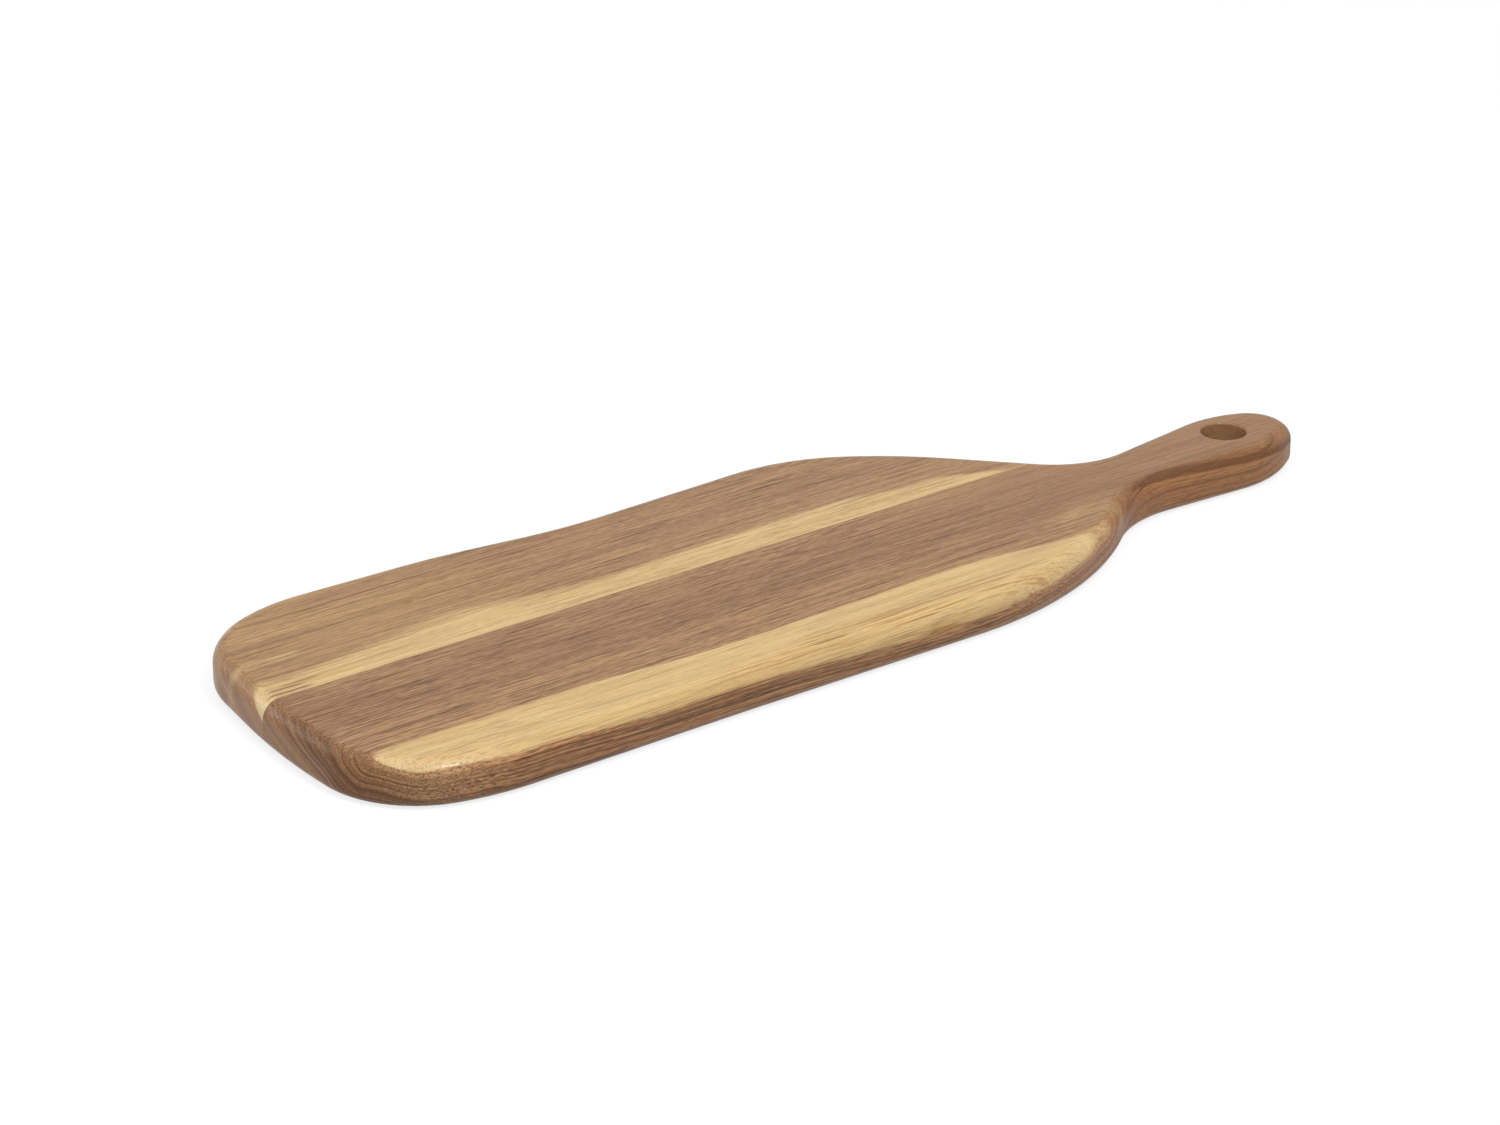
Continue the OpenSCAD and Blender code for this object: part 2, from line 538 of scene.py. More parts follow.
@dataclass(frozen=True)
class RingLine:
    """One dark ring that shows on the edges only, in millimetres. It fades faster downwards than up."""

    heights: Stops
    strength: Stops
    above: float
    below: float
    edge_start: float = 0.12

    def mask(self, spot: Spot) -> Socket:
        """Draws the line.

        Args:
            spot: The point.

        Returns:
            From 0 to the strength.
        """
        tree = spot.tree
        rise = spot.z - tree.along(spot.x, self.heights)
        lit = tree.step(rise, -self.below, 0.0) * tree.step(self.above - rise, 0.0, self.above)
        return lit * tree.step(spot.edge, 0.0, self.edge_start) * tree.along(spot.x, self.strength)


@dataclass(frozen=True)
class WoodFinish:
    """Oiled wood with heartwood, sapwood, growth rings, pores and end grain, in millimetres.

    The ring height of a point tells how far out in the tree it grew. It is 0 where pale sapwood meets the
    brown heartwood, and more in the sapwood. Seen from the blade's end, the rings fall from the serving
    face towards the front at one slope, at a lesser one far behind the sapwood, and lie flat below it.

    Stops of rings are pairs of a ring height and a darkness, and all other stops are pairs of X and a
    value. Soft rings show all over, and dark rings and ring lines on the edges only.
    """

    name: str
    seed: float
    # Where the sapwood and its rings lie
    pale_edge: Stops
    pale_depth: Stops
    edge_soft: Stops
    slope: float
    far_slope: float
    far_from: float
    lean: float
    # How the tones change over the stave
    heart: Colour
    shade: Stops
    # Painted shade on the end faces, along X
    end_painted_shade: Stops
    soft_rings: Stops
    dark_rings: Stops
    gold: Stops
    amber_zone: Stops
    amber_y: float
    fine: Stops
    marks: tuple[GrainMark, ...]
    ring_lines: tuple[RingLine, ...] = ()
    # Colours
    heart_dark: Colour = (0.145, 0.064, 0.029)
    # Painted shade: the tint that darkens and reddens the board's sides
    side_painted_shade: Colour = (0.9, 0.71, 0.56)
    end_tint: Colour = (0.94, 0.84, 0.74)
    sap: Colour = (0.596, 0.417, 0.192)
    sap_gold: Colour = (0.52, 0.325, 0.128)
    # Painted highlight: the paler sapwood colour of the end faces
    sap_end_highlight: Colour = (0.72, 0.53, 0.285)
    amber: Colour = (0.4, 0.21, 0.062)
    pore: Colour = (0.11, 0.05, 0.022)
    # Shape of the rings and of the sapwood's edge
    top: float = 19.0
    bend_soft: float = 4.0
    wander: float = 1.4
    ripple: float = 0.5
    feather: float = 1.3
    edge_calm: float = 0.7
    edge_blur: Stops = ((-230.0, 0.2), (-130.0, 1.2))
    # Depth of the heartwood's rings and tints, and of its painted light and shade
    band_depth: float = 0.05
    line_depth: float = 0.08
    line_edge: float = 0.4
    ring_depth: float = 0.3
    ring_edge: float = 0.7
    # The rings fade at the front-left corner, a painted highlight there, and also fade towards the handle
    ring_fade: Stops = ((-262.0, 1.15), (-252.0, 1.1), (-240.0, 0.5), (-225.0, 0.6), (-205.0, 1.1),
                        (60.0, 0.95), (110.0, 0.7), (145.0, 0.5), (172.0, 0.25), (200.0, 0.4))
    # Painted light that lightens the round edges against the lesser light they get
    edge_painted_light: float = 0.34
    # How far the painted shade of the end eases off on its round edge
    end_fade: float = 0.75
    # The end tint leaves out the front-left corner, a painted highlight there
    end_depth: Stops = ((-258.0, 1.0), (-244.0, 0.0), (-150.0, 0.0), (100.0, 1.0))
    # How strongly painted shade darkens the sides along X; it is least at the front-left corner, which stays
    # lighter
    side_shade_depth: Stops = ((-245.0, 0.0), (-225.0, 0.2), (-200.0, 0.55), (-120.0, 0.4), (60.0, 0.4),
                         (115.0, 1.0), (150.0, 1.0), (180.0, 0.8))
    # Depth of the sapwood's clouds and of the fine lines
    cloud_depth: float = 0.5
    amber_soft: float = 5.0
    flow: float = 5.0
    long_depth: float = 0.72
    hair_depth: float = 0.45
    fleck_depth: float = 1.5
    light_share: float = 0.4
    pore_depth: float = 0.9
    pore_spread: float = 0.2
    sap_calm: float = 0.62
    end_calm: float = 0.4
    # Gloss and relief
    gloss: float = 0.21
    sheen_matt: float = 0.2
    pore_matt: float = 0.15
    end_matt: float = 0.12
    edge_matt: Stops = ((60.0, 0.0), (125.0, 0.15))
    sheen_relief: float = 0.35
    fibre_relief: float = 0.3
    relief_share: float = 0.3
    relief_depth: float = 0.12
    ior: float = 1.4
    shine: float = 0.3

    def ring_height(self, spot: Spot) -> Socket:
        """Works out how far out in the tree a point grew, with the slow wander of a real trunk.

        Args:
            spot: The point.

        Returns:
            Its ring height.
        """
        tree = spot.tree
        past = tree.along(spot.x, self.pale_edge) - spot.y + (self.top - spot.z) * self.lean
        deep = tree.along(spot.x, self.pale_depth) / self.slope
        near = tree.math("SMOOTH_MIN", past, deep, self.bend_soft) * self.slope
        far = tree.math("SMOOTH_MAX", -past - self.far_from, 0.0, self.bend_soft)
        height = spot.z - self.top + near + far * (self.slope - self.far_slope)
        wander = spot.swing(WANDER, self.seed) * self.wander
        return height + wander + spot.swing(RIPPLE, self.seed) * self.ripple

    def sapwood(self, spot: Spot, ring: Socket) -> Socket:
        """Marks the pale wood.

        Args:
            spot: The point.
            ring: Its ring height.

        Returns:
            1 in sapwood and 0 in heartwood, with a soft and feathered edge.
        """
        tree = spot.tree
        feather = spot.swing(FEATHER, self.seed) * (self.feather - spot.edge * self.edge_calm)
        blur = spot.edge * tree.along(spot.x, self.edge_blur) + 1.0
        soft = tree.along(spot.x, self.edge_soft) * blur
        return tree.step(ring / soft + feather, -1.0, 1.0)

    def heart_colour(self, spot: Spot, ring: Socket) -> Socket:
        """Colours the heartwood with bands and lines that follow the rings.

        Args:
            spot: The point.
            ring: Its ring height.

        Returns:
            The colour, with painted shade that darkens and reddens the sides and darkens the blade's end,
            and deeper end grain.
        """
        tree = spot.tree
        # Painted light lightens the round edges
        dark = spot.ring_mask(RING_BANDS, ring, self.seed) * self.band_depth - spot.edge * self.edge_painted_light
        dark = dark + tree.along(spot.x, self.shade)
        lines = spot.edge * self.line_edge + self.line_depth
        dark = dark + spot.ring_mask(RING_LINES, ring, self.seed) * lines
        rings = tree.along(ring, self.dark_rings) * tree.along(spot.x, self.ring_fade)
        dark = dark + rings * spot.edge * self.ring_edge
        dark = dark + tree.along(ring, self.soft_rings) * self.ring_depth
        # Painted shade darkens the blade's end, less on its round edge
        ends = spot.end * (1.0 - spot.edge * self.end_fade)
        dark = dark + ends * tree.along(spot.x, self.end_painted_shade)
        for line in self.ring_lines:
            dark = dark + line.mask(spot)
        colour = tree.mix(dark, self.heart, self.heart_dark)
        golden = spot.mask(PATCHES, self.seed) * tree.along(spot.x, self.gold) * (1.0 - spot.end)
        colour = tree.mix(golden, colour, self.sap_gold)
        # Painted shade darkens and reddens the sides
        sides = spot.side * tree.along(spot.x, self.side_shade_depth)
        colour = tree.mix(sides, colour, self.side_painted_shade, "MULTIPLY")
        ends = spot.end * tree.along(spot.x, self.end_depth)
        return tree.mix(ends, colour, self.end_tint, "MULTIPLY")

    def sap_colour(self, spot: Spot) -> Socket:
        """Colours the sapwood, with amber streaks in front of one line.

        Args:
            spot: The point.

        Returns:
            The colour, paler on the ends as a painted highlight.
        """
        tree = spot.tree
        colour = tree.mix(spot.mask(CLOUDS, self.seed) * self.cloud_depth, self.sap, self.sap_gold)
        front = tree.step(self.amber_y - spot.y, -self.amber_soft, self.amber_soft)
        zone = tree.along(spot.x, self.amber_zone) * front
        colour = tree.mix(spot.mask(STREAKS, self.seed) * zone, colour, self.amber)
        # Painted highlight makes the sapwood paler on the end faces
        return tree.mix(spot.end, colour, self.sap_end_highlight)

    def marked(self, spot: Spot, colour: Socket) -> Socket:
        """Adds the streaks that stand out to a colour.

        Args:
            spot: The point.
            colour: The wood's colour without them.

        Returns:
            The colour with the streaks.
        """
        tree = spot.tree
        for mark in self.marks:
            tone = self.heart_dark if mark.strength > 0 else self.sap
            colour = tree.mix(tree.math("ABSOLUTE", mark.mask(spot)), colour, tone)
        return colour

    def fibres(self, spot: Spot) -> tuple[Socket, Socket]:
        """Draws the fine lines that run with the grain.

        Args:
            spot: The point.

        Returns:
            The fibres' darkness about 0, and the mask of the open pores.
        """
        drift = spot.swing(FLOW, self.seed) * self.flow
        spot = replace(spot, y=spot.y + drift, z=spot.z + drift)
        lines = spot.swing(LONG_LINES, self.seed) * self.long_depth
        lines = lines + spot.swing(FLECKS, self.seed) * self.fleck_depth
        spread = spot.swing(PORE_SPREAD, self.seed) * self.pore_spread
        pores = spot.tree.step(spot.noise(PORES, self.seed) + spread, PORES.low, PORES.high)
        return lines + spot.mask(HAIRS, self.seed) * self.hair_depth, pores

    def material(self) -> bpy.types.Material:
        """Builds the wood.

        Returns:
            The finished material.
        """
        tree = ShaderTree(self.name)
        spot = Spot.on(tree)
        ring = self.ring_height(spot)
        sap = self.sapwood(spot, ring)
        colour = tree.mix(sap, self.heart_colour(spot, ring), self.sap_colour(spot))
        colour = self.marked(spot, colour)
        fibre, pores = self.fibres(spot)
        fine = tree.along(spot.x, self.fine) * (1.0 - sap * self.sap_calm)
        fine = fine * (1.0 - spot.end * self.end_calm)
        colour = tree.mix(tree.math("MAXIMUM", fibre * fine, 0.0), colour, self.pore)
        colour = tree.mix(tree.math("MAXIMUM", fibre * fine * -self.light_share, 0.0), colour, self.sap)
        colour = tree.mix(pores * fine * self.pore_depth, colour, self.pore)
        sheen = spot.swing(SHEEN, self.seed)
        matt = sheen * self.sheen_matt + pores * self.pore_matt + spot.end * self.end_matt
        matt = matt + spot.edge * tree.along(spot.x, self.edge_matt)
        relief = sheen * self.sheen_relief - fibre * self.fibre_relief - pores
        height = {"Strength": self.relief_share, "Distance": self.relief_depth * MM, "Height": relief}
        fields = {
            "Base Color": colour,
            "Roughness": self.gloss + matt,
            "Normal": tree.add("ShaderNodeBump", None, height),
            "IOR": self.ior,
            "Specular IOR Level": self.shine,
        }
        return tree.surface(tree.add("ShaderNodeBsdfPrincipled", None, fields))


@dataclass(frozen=True)
class GlueFinish:
    """Hardened wood glue, dark with the dust that it caught."""

    name: str = "wood_glue"
    film: Colour = (0.085, 0.045, 0.022)
    dust: Colour = (0.15, 0.085, 0.045)
    cloud_length: float = 11.0
    cloud_height: float = 3.0
    cloud_detail: float = 2.0
    dust_from: float = 0.35
    dust_full: float = 0.7
    matt: float = 0.5
    matt_swing: float = 0.3

    def material(self) -> bpy.types.Material:
        """Builds the glue.

        Returns:
            The finished material.
        """
        tree = ShaderTree(self.name)
        x, y, z = tree.place()
        cloud = tree.noise(x / self.cloud_length, y, z / self.cloud_height, self.cloud_detail)
        colour = tree.mix(tree.step(cloud, self.dust_from, self.dust_full), self.film, self.dust)
        roughness = self.matt + (cloud - tree.NOISE_MIDDLE) * self.matt_swing
        fields = {"Base Color": colour, "Roughness": roughness}
        return tree.surface(tree.add("ShaderNodeBsdfPrincipled", None, fields))


HANDLE_RING = ((157.0, 17.4), (183.0, 16.6), (198.0, 15.8), (216.0, 14.9), (234.0, 14.0), (253.0, 12.6))
REAR_RINGS = ((-34.0, 0.3), (-30.0, 0.1), (-24.0, 0.4), (-18.0, 0.1), (-12.0, 0.35), (-6.0, 0.1))

FRONT_WOOD = WoodFinish(
    name="front_stave_wood",
    seed=3.7,
    pale_edge=((-256.0, -63.0), (-253.0, -60.2), (-249.0, -58.2), (-235.0, -57.8), (-145.0, -59.0),
               (-90.0, -63.0), (35.0, -60.5), (75.0, -64.0), (95.0, -66.5), (108.0, -65.0), (117.0, -60.5),
               (140.0, -61.5), (170.0, -62.0)),
    pale_depth=((-255.0, 0.4), (-250.0, 2.0), (-243.0, 3.5), (-228.0, 2.4), (-205.0, 2.8), (-180.0, 3.0),
                (-145.0, 5.2), (-70.0, 6.1), (0.0, 9.8), (70.0, 7.4), (120.0, 5.4)),
    edge_soft=((-250.0, 0.5), (60.0, 0.6), (110.0, 1.1)),
    slope=0.53,
    far_slope=0.3,
    far_from=16.0,
    lean=0.5,
    heart=(0.475, 0.268, 0.13),
    shade=((-100.0, 0.15), (60.0, 0.17), (105.0, 0.22), (130.0, 0.22), (150.0, 0.19)),
    end_painted_shade=((-250.0, 0.55), (-230.0, 0.0)),
    soft_rings=((-30.0, 0.35), (-24.0, 0.45), (-17.0, 1.25), (-12.0, 1.2), (-8.5, 0.72), (-5.0, 0.75),
                (-2.5, 0.45), (0.0, 0.15)),
    dark_rings=((-30.0, 0.3), (-22.8, 0.25), (-21.7, 0.85), (-20.8, 0.1), (-19.9, 0.1), (-19.2, 0.6),
                (-18.4, 0.2), (-17.0, 1.0), (-16.0, 0.4), (-14.5, 0.3), (-12.8, 0.5), (-12.1, 1.2),
                (-11.5, 0.6), (-10.7, 0.2), (-10.0, 0.1), (-9.3, 0.25), (-8.6, 0.85), (-7.8, 0.1),
                (-6.6, 0.15), (-6.1, 0.2), (-5.6, 0.9), (-5.1, 0.25), (-4.4, 0.25), (-3.9, 0.8), (-3.4, 0.2),
                (-2.6, 0.25), (-2.1, 0.6), (-1.6, 0.1), (0.0, 0.1)),
    gold=((-250.0, 0.0), (250.0, 0.08)),
    amber_zone=((-120.0, 0.0), (-60.0, 0.9), (50.0, 0.9), (80.0, 0.55), (110.0, 0.25)),
    amber_y=-76.0,
    fine=((-262.0, 1.15), (-150.0, 1.0), (60.0, 0.9), (150.0, 0.5)),
    marks=(
        GrainMark(-178.0, -160.0, -36.7, 0.6, 0.8),
        GrainMark(-60.0, -40.0, -83.5, 0.5, 0.7),
        GrainMark(92.0, 142.0, -51.0, 9.0, -0.25),
    ),
    ring_lines=(
        RingLine(
            heights=HANDLE_RING,
            strength=((142.0, 0.0), (157.0, 0.2), (175.0, 0.66), (248.0, 0.6), (256.0, 0.35), (262.0, 0.1)),
            above=4.2,
            below=1.6,
        ),
        RingLine(
            heights=HANDLE_RING,
            strength=((148.0, 0.0), (165.0, 0.6), (248.0, 0.6), (262.0, 0.2)),
            above=1.4,
            below=1.2,
        ),
    ),
)

REAR_WOOD = WoodFinish(
    name="rear_stave_wood",
    seed=11.3,
    pale_edge=((-262.0, 23.5), (-248.0, 20.5), (-231.0, 20.0), (-158.0, 29.0), (-118.0, 23.5), (-86.0, 21.0),
               (-23.0, 23.0), (43.0, 23.5), (70.0, 19.0), (98.0, 16.5), (125.0, 6.0)),
    pale_depth=((-250.0, 30.0), (250.0, 31.0)),
    edge_soft=((-250.0, 2.4), (-158.0, 3.4), (-86.0, 1.6), (43.0, 1.2), (99.0, 0.9)),
    slope=0.47,
    far_slope=0.47,
    far_from=60.0,
    lean=0.0,
    heart=(0.465, 0.268, 0.13),
    shade=((-200.0, 0.28), (-130.0, 0.3), (-60.0, 0.28)),
    end_painted_shade=((-250.0, 0.2), (-230.0, 0.0)),
    soft_rings=REAR_RINGS,
    dark_rings=REAR_RINGS,
    gold=((-250.0, 0.42), (-150.0, 0.3), (-90.0, 0.1), (120.0, 0.05)),
    amber_zone=((-262.0, 0.0), (-254.0, 0.0), (-247.0, 0.4), (-200.0, 0.0)),
    amber_y=14.0,
    fine=((-262.0, 0.5), (-252.0, 0.85), (-225.0, 0.76), (-150.0, 0.78), (-60.0, 0.9), (60.0, 0.9),
          (150.0, 0.6)),
    marks=(
        GrainMark(-236.0, -118.0, 70.0, 0.7, 0.7),
        GrainMark(-260.0, -218.0, 38.5, 4.5, -0.6),
        GrainMark(-258.0, -232.0, 8.4, 1.0, 1.0),
        GrainMark(-255.0, -234.0, 11.6, 0.9, 0.9),
        GrainMark(-248.0, -226.0, 13.8, 0.7, 0.7),
    ),
    feather=0.8,
    edge_blur=((-250.0, -0.7), (-130.0, 0.5)),
    sap_calm=0.42,
)


# The board


@dataclass(frozen=True)
class Corner:
    """A corner of the outline before its arc is drawn in, in millimetres."""

    x: float
    y: float
    radius: float

    @property
    def spot(self) -> Vector:
        """The corner's place."""
        return Vector((self.x, self.y))


@dataclass(frozen=True)
class PaddleOutline:
    """The board's plan, in millimetres: straight runs joined by tangent arcs."""

    board_l: float = 525.0
    board_w: float = 179.0
    handle_y: float = -20.0
    handle_w: float = 49.0
    handle_run: float = 26.0
    handle_r: float = 56.0
    neck_y: float = -23.5
    neck_w: float = 32.0
    neck_run: float = 107.5
    neck_rear_r: float = 38.0
    neck_front_r: float = 62.0
    tip_w: float = 21.5
    tip_rear_over: float = 4.0
    tip_front_back: float = 3.0
    tip_rear_r: float = 18.5
    tip_front_r: float = 14.0
    rear_slope_run: float = 161.0
    rear_slope_drop: float = 36.5
    rear_slope_r: float = 165.0
    rear_shoulder_run: float = 204.0
    rear_shoulder_drop: float = 6.5
    rear_shoulder_r: float = 90.0
    front_shoulder_run: float = 177.0
    front_shoulder_over: float = 0.7
    front_shoulder_r: float = 182.0
    rear_hollow_run: float = 199.0
    rear_hollow: float = 10.5
    rear_hollow_r: float = 240.0
    rear_swell_run: float = 136.0
    rear_swell_drop: float = 2.0
    rear_swell_r: float = 300.0
    front_hollow_run: float = 167.0
    front_hollow: float = 1.7
    front_hollow_r: float = 2000.0
    rear_ease_run: float = 57.0
    rear_ease_over: float = 0.4
    rear_ease_r: float = 78.0
    rear_corner_run: float = 15.0
    rear_corner_drop: float = 15.5
    rear_corner_r: float = 51.0
    end_bow_y: float = -7.0
    end_bow_r: float = 344.0
    front_corner_drop: float = 15.0
    front_corner_r: float = 45.5
    front_ease_run: float = 49.5
    front_ease_in: float = 1.2
    front_ease_r: float = 113.0
    chord_gap: float = 0.012
    least_chords: int = 2
    least_run: float = 0.001

    def corners(self) -> list[Corner]:
        """Lists the corners.

        Returns:
            The corners from the handle's tip, along the rear edge, round the blade and back.
        """
        tip, end = self.board_l / 2, -self.board_l / 2
        rear, front = self.board_w / 2, -self.board_w / 2
        handle_rear, handle_front = self.handle_y + self.handle_w / 2, self.handle_y - self.handle_w / 2
        neck_rear, neck_front = self.neck_y + self.neck_w / 2, self.neck_y - self.neck_w / 2
        tip_rear, tip_front = self.handle_y + self.tip_w / 2, self.handle_y - self.tip_w / 2
        return [
            Corner(tip + self.tip_rear_over, tip_rear, self.tip_rear_r),
            Corner(tip - self.handle_run, handle_rear, self.handle_r),
            Corner(tip - self.neck_run, neck_rear, self.neck_rear_r),
            Corner(tip - self.rear_slope_run, rear - self.rear_slope_drop, self.rear_slope_r),
            Corner(tip - self.rear_shoulder_run, rear - self.rear_shoulder_drop, self.rear_shoulder_r),
            Corner(end + self.rear_hollow_run, rear - self.rear_hollow, self.rear_hollow_r),
            Corner(end + self.rear_swell_run, rear - self.rear_swell_drop, self.rear_swell_r),
            Corner(end + self.rear_ease_run, rear + self.rear_ease_over, self.rear_ease_r),
            Corner(end + self.rear_corner_run, rear - self.rear_corner_drop, self.rear_corner_r),
            Corner(end, self.end_bow_y, self.end_bow_r),
            Corner(end, front + self.front_corner_drop, self.front_corner_r),
            Corner(end + self.front_ease_run, front + self.front_ease_in, self.front_ease_r),
            Corner(end + self.front_hollow_run, front + self.front_hollow, self.front_hollow_r),
            Corner(tip - self.front_shoulder_run, front - self.front_shoulder_over, self.front_shoulder_r),
            Corner(tip - self.neck_run, neck_front, self.neck_front_r),
            Corner(tip - self.handle_run, handle_front, self.handle_r),
            Corner(tip - self.tip_front_back, tip_front, self.tip_front_r),
        ]

    @staticmethod
    def half_angle(back: Vector, ahead: Vector) -> float:
        """Halves the angle between two directions."""
        return math.acos(max(-1.0, min(1.0, back.dot(ahead)))) / 2

    def arc(self, corner: Corner, back: Vector, ahead: Vector, radius: float) -> list[Vector]:
        """Draws one corner's arc.

        Args:
            corner: The corner.
            back: The direction to the corner before it.
            ahead: The direction to the corner after it.
            radius: The arc's radius, short enough for both runs.

        Returns:
            Points along the arc, its ends included.
        """
        half = self.half_angle(back, ahead)
        centre = corner.spot + (back + ahead).normalized() * (radius / math.sin(half))
        start = corner.spot + back * (radius / math.tan(half)) - centre
        turn = (math.pi - 2 * half) * (1 if ahead.cross(back) > 0 else -1)
        chord = 2 * math.acos(1 - self.chord_gap / radius)
        count = max(self.least_chords, math.ceil(abs(turn) / chord))
        points: list[Vector] = []
        for i in range(count + 1):
            c, s = math.cos(turn * i / count), math.sin(turn * i / count)
            points.append(centre + Vector((start.x * c - start.y * s, start.x * s + start.y * c)))
        return points

    def path(self) -> list[Vector]:
        """Draws the whole outline.

        Returns:
            Points in order, counterclockwise from above, centred on the outline's own box, in metres.
        """
        corners = self.corners()
        count = len(corners)
        runs = [corners[(i + 1) % count].spot - corners[i].spot for i in range(count)]
        ahead = [run.normalized() for run in runs]
        back = [-ahead[i - 1] for i in range(count)]
        half = [self.half_angle(back[i], ahead[i]) for i in range(count)]
        reach = [corners[i].radius / math.tan(half[i]) for i in range(count)]
        room = [runs[i].length / (reach[i] + reach[(i + 1) % count]) for i in range(count)]
        points: list[Vector] = []
        for i, corner in enumerate(corners):
            radius = corner.radius * min(1.0, room[i - 1], room[i])
            for point in self.arc(corner, back[i], ahead[i], radius):
                if not points or (point - points[-1]).length > self.least_run:
                    points.append(point)
        if (points[0] - points[-1]).length < self.least_run:
            points.pop()
        low = Vector((min(p.x for p in points), min(p.y for p in points)))
        high = Vector((max(p.x for p in points), max(p.y for p in points)))
        return [(p - (low + high) / 2) * MM for p in points]


@dataclass(frozen=True)
class EdgeRounds:
    """The rounds along an edge, in millimetres, and the flat lip that leads on to the faces."""

    top_round: float
    bottom_round: float
    lip: float = 0.8
    steps: int = 12

    def sizes(self, thickness: float, outward: float, material: bpy.types.Material) -> dict[str, Any]:
        """Gives the sweep's inputs.

        Args:
            thickness: The board's thickness in metres.
            outward: 1 round the board and -1 round a hole.
            material: The strip's material.

        Returns:
            The inputs by name.
        """
        return {
            "Thickness": thickness,
            "Top Round": self.top_round * MM,
            "Bottom Round": self.bottom_round * MM,
            "Lip": self.lip * MM,
            "Steps": self.steps,
            "Outward": outward,
            "Material": material,
        }


@dataclass
class PaddleBoard:
    """The glued-up board, cut into its staves and the glue between them."""

    sweep: SweepTree
    outline: PaddleOutline = PaddleOutline()
    edge: EdgeRounds = EdgeRounds(top_round=7.5, bottom_round=5.0)
    hole_edge: EdgeRounds = EdgeRounds(top_round=1.0, bottom_round=1.0, lip=0.4, steps=6)
    hole_sides: int = 96
    sharp_angle: float = math.radians(40)
    flat_face: Point = (0.0, 0.0, 1.0)

    def __post_init__(self) -> None:
        """Takes the thickness, the glue's faces and the hole from the frame."""
        low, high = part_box("glue_line")
        self.thickness = high.z
        self.glue_front, self.glue_rear = low.y, high.y
        hole = next(m for m in frame["record"]["mounts"] if m["name"] == "hang_hole")
        self.hole_centre = Vector(hole["pos_m"][:2])
        self.hole_radius = hole["dims"]["r_mm"] * MM

    def hole_path(self) -> list[Vector]:
        """Draws the hole's circle, counterclockwise, in metres."""
        turns = [math.tau * i / self.hole_sides for i in range(self.hole_sides)]
        return [self.hole_centre + Vector((math.cos(a), math.sin(a))) * self.hole_radius for a in turns]

    def shell(self, material: bpy.types.Material) -> bmesh.types.BMesh:
        """Builds the whole board as one closed skin.

        Args:
            material: The material that the sweep sets.

        Returns:
            The skin, with its edge, its hole and both flat faces.
        """
        skin = bmesh.new()
        for path, edge, outward in (
            (self.outline.path(), self.edge, 1.0),
            (self.hole_path(), self.hole_edge, -1.0),
        ):
            strip = self.sweep.sweep(path, edge.sizes(self.thickness, outward, material))
            skin.from_mesh(strip)
            bpy.data.meshes.remove(strip)
        bmesh.ops.remove_doubles(skin, verts=skin.verts, dist=MERGE_GAP)
        for level in (0.0, self.thickness):
            self.close_face(skin, level)
        bmesh.ops.recalc_face_normals(skin, faces=skin.faces)
        return skin

    def close_face(self, skin: bmesh.types.BMesh, level: float) -> None:
        """Fills a flat face between the board's edge and the hole.

        Args:
            skin: The board's skin, still open at this face.
            level: The face's height in metres.
        """
        rims = [e for e in skin.edges if e.is_boundary and abs(e.verts[0].co.z - level) < LEVEL_GAP]
        corners = list(dict.fromkeys(v for e in rims for v in e.verts))
        number = {v: i for i, v in enumerate(corners)}
        links = [(number[e.verts[0]], number[e.verts[1]]) for e in rims]
        places = [v.co.xy for v in corners]
        _, _, triangles, sources, _, _ = delaunay_2d_cdt(places, links, [], INSIDE_FACES, MERGE_GAP)
        rim = self.hole_radius + (self.hole_edge.top_round + self.hole_edge.lip) * MM + MERGE_GAP
        for triangle in triangles:
            spots = [corners[sources[i][0]] for i in triangle]
            if any((v.co.xy - self.hole_centre).length > rim for v in spots):
                skin.faces.new(spots)

    def cut(self, skin: bmesh.types.BMesh, y: float, side: Side) -> None:
        """Saws the board along the grain and closes the sawn face.

        Args:
            skin: The skin that is cut.
            y: The cut's place in metres.
            side: The side that is kept.
        """
        everything = skin.verts[:] + skin.edges[:] + skin.faces[:]
        sawn = bmesh.ops.bisect_plane(
            skin, geom=everything, dist=CUT_GAP, plane_co=(0.0, y, 0.0),
            plane_no=(0.0, -side.value, 0.0), clear_outer=True,
        )
        kerf = [item for item in sawn["geom_cut"] if isinstance(item, bmesh.types.BMEdge)]
        bmesh.ops.edgeloop_fill(skin, edges=kerf)
        bmesh.ops.recalc_face_normals(skin, faces=skin.faces)

    def piece(self, name: str, skin: bmesh.types.BMesh, cuts: list[tuple[float, Side]]) -> bpy.types.Object:
        """Cuts one piece out of the board.

        Args:
            name: The piece's name.
            skin: The whole board's skin, which is left as it is.
            cuts: Where the board is cut, each with the side that is kept.

        Returns:
            The piece as an object, with the facing of each corner stored in it.
        """
        part = skin.copy()
        for y, side in cuts:
            self.cut(part, y, side)
        bmesh.ops.dissolve_degenerate(part, dist=MERGE_GAP, edges=part.edges)
        mesh = bpy.data.meshes.new(name)
        part.to_mesh(mesh)
        part.free()
        mesh.materials.clear()
        mesh.polygons.foreach_set("use_smooth", [True] * len(mesh.polygons))
        mesh.set_sharp_from_angle(angle=self.sharp_angle)
        facing = mesh.attributes.new(FACING, "FLOAT_VECTOR", "CORNER")
        facing.data.foreach_set("vector", self.facing(mesh))
        return new_object(name, mesh)

